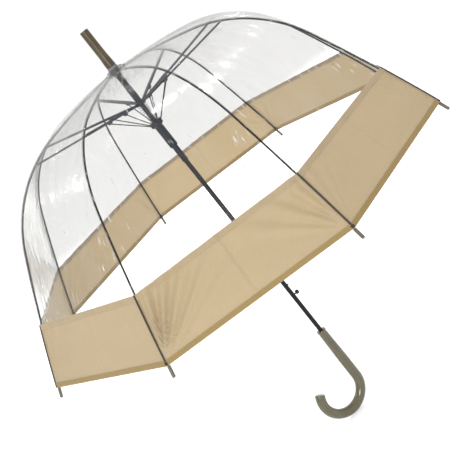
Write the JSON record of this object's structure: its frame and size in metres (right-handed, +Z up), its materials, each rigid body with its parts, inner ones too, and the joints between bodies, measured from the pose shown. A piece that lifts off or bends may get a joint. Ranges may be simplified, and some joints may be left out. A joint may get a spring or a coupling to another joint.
{
  "type": "stick umbrella",
  "caption": "Automatic stick umbrella with a clear dome canopy, khaki border, folding ribs on a sprung runner, push button and crook handle",
  "frame": {"origin": "Middle of the handle's straight grip, on the shaft's axis", "axes": "+Z runs up the shaft to the ferrule; the crook curls towards -X; the push button faces +X; rib 1 points along +X and the ribs are numbered anticlockwise seen from above"},
  "size_m": [0.8598, 0.8598, 0.864],
  "materials": {
    "shaft": "satin black enamelled steel tube",
    "mechanism": "blue-black pressed steel, satin",
    "spring": "dark oiled spring steel",
    "rib": "black pultruded fibreglass rod",
    "button": "moulded black plastic",
    "notch": "smoke-grey moulded plastic",
    "handle": "glossy moulded taupe plastic",
    "ferrule": "satin khaki plastic",
    "canopy": "clear film with a khaki fabric border"
  },
  "bodies": {
    "frame": {"shaft_tube": "shaft", "ferrule": "ferrule", "canopy_washer": "notch", "top_notch": "notch", "stop_sleeve": "mechanism", "handle_crook": "handle"},
    "rib_1": {"rib_upper_1": "rib"},
    "rib_end_1": {"rib_lower_1": "rib", "rib_tip_1": "handle", "canopy_panel_1": "canopy"},
    "stretcher_1": {"stretcher_1": "mechanism"},
    "strut_1": {"strut_1": "mechanism"},
    "rib_2": {"rib_upper_2": "rib"},
    "rib_end_2": {"rib_lower_2": "rib", "rib_tip_2": "handle", "canopy_panel_2": "canopy"},
    "stretcher_2": {"stretcher_2": "mechanism"},
    "strut_2": {"strut_2": "mechanism"},
    "rib_3": {"rib_upper_3": "rib"},
    "rib_end_3": {"rib_lower_3": "rib", "rib_tip_3": "handle", "canopy_panel_3": "canopy"},
    "stretcher_3": {"stretcher_3": "mechanism"},
    "strut_3": {"strut_3": "mechanism"},
    "rib_4": {"rib_upper_4": "rib"},
    "rib_end_4": {"rib_lower_4": "rib", "rib_tip_4": "handle", "canopy_panel_4": "canopy"},
    "stretcher_4": {"stretcher_4": "mechanism"},
    "strut_4": {"strut_4": "mechanism"},
    "rib_5": {"rib_upper_5": "rib"},
    "rib_end_5": {"rib_lower_5": "rib", "rib_tip_5": "handle", "canopy_panel_5": "canopy"},
    "stretcher_5": {"stretcher_5": "mechanism"},
    "strut_5": {"strut_5": "mechanism"},
    "rib_6": {"rib_upper_6": "rib"},
    "rib_end_6": {"rib_lower_6": "rib", "rib_tip_6": "handle", "canopy_panel_6": "canopy"},
    "stretcher_6": {"stretcher_6": "mechanism"},
    "strut_6": {"strut_6": "mechanism"},
    "rib_7": {"rib_upper_7": "rib"},
    "rib_end_7": {"rib_lower_7": "rib", "rib_tip_7": "handle", "canopy_panel_7": "canopy"},
    "stretcher_7": {"stretcher_7": "mechanism"},
    "strut_7": {"strut_7": "mechanism"},
    "rib_8": {"rib_upper_8": "rib"},
    "rib_end_8": {"rib_lower_8": "rib", "rib_tip_8": "handle", "canopy_panel_8": "canopy"},
    "stretcher_8": {"stretcher_8": "mechanism"},
    "strut_8": {"strut_8": "mechanism"},
    "ring": {"floating_ring": "mechanism", "opening_spring": "spring"},
    "runner": {"runner": "mechanism", "runner_tube": "mechanism"},
    "button": {"push_button": "button", "latch_leaf": "spring"}
  },
  "joints": [
    {"name": "canopy_fold", "type": "hinge", "parent": "frame", "child": "rib_1", "pos_m": [0.0072, 0, 0.666], "axis": [0, 1, 0], "range_deg": [0, 75.52], "stiffness_Nm_per_rad": 1, "springref_deg": -80.21, "deforming": ["canopy_panel_1", "canopy_panel_2", "canopy_panel_3", "canopy_panel_4", "canopy_panel_5", "canopy_panel_6", "canopy_panel_7", "canopy_panel_8"]},
    {"name": "rib_2_fold", "type": "hinge", "parent": "frame", "child": "rib_2", "pos_m": [0.00509, 0.00509, 0.666], "axis": [-0.7071, 0.7071, 0], "range_deg": [0, 75.57]},
    {"name": "rib_3_fold", "type": "hinge", "parent": "frame", "child": "rib_3", "pos_m": [0, 0.0072, 0.666], "axis": [-1, 0, 0], "range_deg": [0, 75.57]},
    {"name": "rib_4_fold", "type": "hinge", "parent": "frame", "child": "rib_4", "pos_m": [-0.00509, 0.00509, 0.666], "axis": [-0.7071, -0.7071, 0], "range_deg": [0, 75.57]},
    {"name": "rib_5_fold", "type": "hinge", "parent": "frame", "child": "rib_5", "pos_m": [-0.0072, 0, 0.666], "axis": [0, -1, 0], "range_deg": [0, 75.57]},
    {"name": "rib_6_fold", "type": "hinge", "parent": "frame", "child": "rib_6", "pos_m": [-0.00509, -0.00509, 0.666], "axis": [0.7071, -0.7071, 0], "range_deg": [0, 75.57]},
    {"name": "rib_7_fold", "type": "hinge", "parent": "frame", "child": "rib_7", "pos_m": [0, -0.0072, 0.666], "axis": [1, 0, 0], "range_deg": [0, 75.57]},
    {"name": "rib_8_fold", "type": "hinge", "parent": "frame", "child": "rib_8", "pos_m": [0.00509, -0.00509, 0.666], "axis": [0.7071, 0.7071, 0], "range_deg": [0, 75.57]},
    {"name": "rib_1_flex", "type": "hinge", "parent": "rib_1", "child": "rib_end_1", "pos_m": [0.2068, 0, 0.63269], "axis": [0, -1, 0], "range_deg": [0, 39.5]},
    {"name": "rib_2_flex", "type": "hinge", "parent": "rib_2", "child": "rib_end_2", "pos_m": [0.14623, 0.14623, 0.63269], "axis": [0.7071, -0.7071, 0], "range_deg": [0, 39.5]},
    {"name": "rib_3_flex", "type": "hinge", "parent": "rib_3", "child": "rib_end_3", "pos_m": [0, 0.2068, 0.63269], "axis": [1, 0, 0], "range_deg": [0, 39.5]},
    {"name": "rib_4_flex", "type": "hinge", "parent": "rib_4", "child": "rib_end_4", "pos_m": [-0.14623, 0.14623, 0.63269], "axis": [0.7071, 0.7071, 0], "range_deg": [0, 39.5]},
    {"name": "rib_5_flex", "type": "hinge", "parent": "rib_5", "child": "rib_end_5", "pos_m": [-0.2068, 0, 0.63269], "axis": [0, 1, 0], "range_deg": [0, 39.5]},
    {"name": "rib_6_flex", "type": "hinge", "parent": "rib_6", "child": "rib_end_6", "pos_m": [-0.14623, -0.14623, 0.63269], "axis": [-0.7071, 0.7071, 0], "range_deg": [0, 39.5]},
    {"name": "rib_7_flex", "type": "hinge", "parent": "rib_7", "child": "rib_end_7", "pos_m": [0, -0.2068, 0.63269], "axis": [-1, 0, 0], "range_deg": [0, 39.5]},
    {"name": "rib_8_flex", "type": "hinge", "parent": "rib_8", "child": "rib_end_8", "pos_m": [0.14623, -0.14623, 0.63269], "axis": [-0.7071, -0.7071, 0], "range_deg": [0, 39.5]},
    {"name": "stretcher_1_fold", "type": "hinge", "parent": "rib_1", "child": "stretcher_1", "pos_m": [0.2068, 0, 0.63269], "axis": [0, -1, 0], "range_deg": [0, 151.09]},
    {"name": "stretcher_2_fold", "type": "hinge", "parent": "rib_2", "child": "stretcher_2", "pos_m": [0.14623, 0.14623, 0.63269], "axis": [0.7071, -0.7071, 0], "range_deg": [0, 151.09]},
    {"name": "stretcher_3_fold", "type": "hinge", "parent": "rib_3", "child": "stretcher_3", "pos_m": [0, 0.2068, 0.63269], "axis": [1, 0, 0], "range_deg": [0, 151.09]},
    {"name": "stretcher_4_fold", "type": "hinge", "parent": "rib_4", "child": "stretcher_4", "pos_m": [-0.14623, 0.14623, 0.63269], "axis": [0.7071, 0.7071, 0], "range_deg": [0, 151.09]},
    {"name": "stretcher_5_fold", "type": "hinge", "parent": "rib_5", "child": "stretcher_5", "pos_m": [-0.2068, 0, 0.63269], "axis": [0, 1, 0], "range_deg": [0, 151.09]},
    {"name": "stretcher_6_fold", "type": "hinge", "parent": "rib_6", "child": "stretcher_6", "pos_m": [-0.14623, -0.14623, 0.63269], "axis": [-0.7071, 0.7071, 0], "range_deg": [0, 151.09]},
    {"name": "stretcher_7_fold", "type": "hinge", "parent": "rib_7", "child": "stretcher_7", "pos_m": [0, -0.2068, 0.63269], "axis": [-1, 0, 0], "range_deg": [0, 151.09]},
    {"name": "stretcher_8_fold", "type": "hinge", "parent": "rib_8", "child": "stretcher_8", "pos_m": [0.14623, -0.14623, 0.63269], "axis": [-0.7071, -0.7071, 0], "range_deg": [0, 151.09]},
    {"name": "ring_pivot", "type": "hinge", "parent": "stretcher_1", "child": "ring", "pos_m": [0.0072, 0, 0.59937], "axis": [0, 1, 0], "range_deg": [0, 75.57]},
    {"name": "runner_slide", "type": "slide", "parent": "ring", "child": "runner", "axis": [0, 0, 1], "range_m": [0, 0.02768], "deforming": ["opening_spring"]},
    {"name": "strut_1_fold", "type": "hinge", "parent": "runner", "child": "strut_1", "pos_m": [0.011, 0, 0.5566], "axis": [0, -1, 0], "range_deg": [0, 43.91]},
    {"name": "strut_2_fold", "type": "hinge", "parent": "runner", "child": "strut_2", "pos_m": [0.00778, 0.00778, 0.5566], "axis": [0.7071, -0.7071, 0], "range_deg": [0, 43.91]},
    {"name": "strut_3_fold", "type": "hinge", "parent": "runner", "child": "strut_3", "pos_m": [0, 0.011, 0.5566], "axis": [1, 0, 0], "range_deg": [0, 43.91]},
    {"name": "strut_4_fold", "type": "hinge", "parent": "runner", "child": "strut_4", "pos_m": [-0.00778, 0.00778, 0.5566], "axis": [0.7071, 0.7071, 0], "range_deg": [0, 43.91]},
    {"name": "strut_5_fold", "type": "hinge", "parent": "runner", "child": "strut_5", "pos_m": [-0.011, 0, 0.5566], "axis": [0, 1, 0], "range_deg": [0, 43.91]},
    {"name": "strut_6_fold", "type": "hinge", "parent": "runner", "child": "strut_6", "pos_m": [-0.00778, -0.00778, 0.5566], "axis": [-0.7071, 0.7071, 0], "range_deg": [0, 43.91]},
    {"name": "strut_7_fold", "type": "hinge", "parent": "runner", "child": "strut_7", "pos_m": [0, -0.011, 0.5566], "axis": [-1, 0, 0], "range_deg": [0, 43.91]},
    {"name": "strut_8_fold", "type": "hinge", "parent": "runner", "child": "strut_8", "pos_m": [0.00778, -0.00778, 0.5566], "axis": [-0.7071, -0.7071, 0], "range_deg": [0, 43.91]},
    {"name": "button_press", "type": "slide", "parent": "frame", "child": "button", "axis": [-1, 0, 0], "range_m": [0, 0.003], "stiffness_N_per_m": 500, "springref_m": -0.002}
  ],
  "couplings": [
    {"joint": "rib_2_fold", "follows": "canopy_fold", "ratio": 1},
    {"joint": "rib_3_fold", "follows": "canopy_fold", "ratio": 1},
    {"joint": "rib_4_fold", "follows": "canopy_fold", "ratio": 1},
    {"joint": "rib_5_fold", "follows": "canopy_fold", "ratio": 1},
    {"joint": "rib_6_fold", "follows": "canopy_fold", "ratio": 1},
    {"joint": "rib_7_fold", "follows": "canopy_fold", "ratio": 1},
    {"joint": "rib_8_fold", "follows": "canopy_fold", "ratio": 1},
    {"joint": "rib_1_flex", "follows": "canopy_fold", "ratio": 0.5224},
    {"joint": "rib_2_flex", "follows": "canopy_fold", "ratio": 0.5224},
    {"joint": "rib_3_flex", "follows": "canopy_fold", "ratio": 0.5224},
    {"joint": "rib_4_flex", "follows": "canopy_fold", "ratio": 0.5224},
    {"joint": "rib_5_flex", "follows": "canopy_fold", "ratio": 0.5224},
    {"joint": "rib_6_flex", "follows": "canopy_fold", "ratio": 0.5224},
    {"joint": "rib_7_flex", "follows": "canopy_fold", "ratio": 0.5224},
    {"joint": "rib_8_flex", "follows": "canopy_fold", "ratio": 0.5224},
    {"joint": "stretcher_1_fold", "follows": "canopy_fold", "ratio": 2},
    {"joint": "stretcher_2_fold", "follows": "canopy_fold", "ratio": 2},
    {"joint": "stretcher_3_fold", "follows": "canopy_fold", "ratio": 2},
    {"joint": "stretcher_4_fold", "follows": "canopy_fold", "ratio": 2},
    {"joint": "stretcher_5_fold", "follows": "canopy_fold", "ratio": 2},
    {"joint": "stretcher_6_fold", "follows": "canopy_fold", "ratio": 2},
    {"joint": "stretcher_7_fold", "follows": "canopy_fold", "ratio": 2},
    {"joint": "stretcher_8_fold", "follows": "canopy_fold", "ratio": 2},
    {"joint": "ring_pivot", "follows": "canopy_fold", "ratio": 1},
    {"joint": "runner_slide", "follows": "canopy_fold", "m_per_rad": 0.020985},
    {"joint": "strut_1_fold", "follows": "canopy_fold", "ratio": 0.5808},
    {"joint": "strut_2_fold", "follows": "canopy_fold", "ratio": 0.5808},
    {"joint": "strut_3_fold", "follows": "canopy_fold", "ratio": 0.5808},
    {"joint": "strut_4_fold", "follows": "canopy_fold", "ratio": 0.5808},
    {"joint": "strut_5_fold", "follows": "canopy_fold", "ratio": 0.5808},
    {"joint": "strut_6_fold", "follows": "canopy_fold", "ratio": 0.5808},
    {"joint": "strut_7_fold", "follows": "canopy_fold", "ratio": 0.5808},
    {"joint": "strut_8_fold", "follows": "canopy_fold", "ratio": 0.5808}
  ]
}
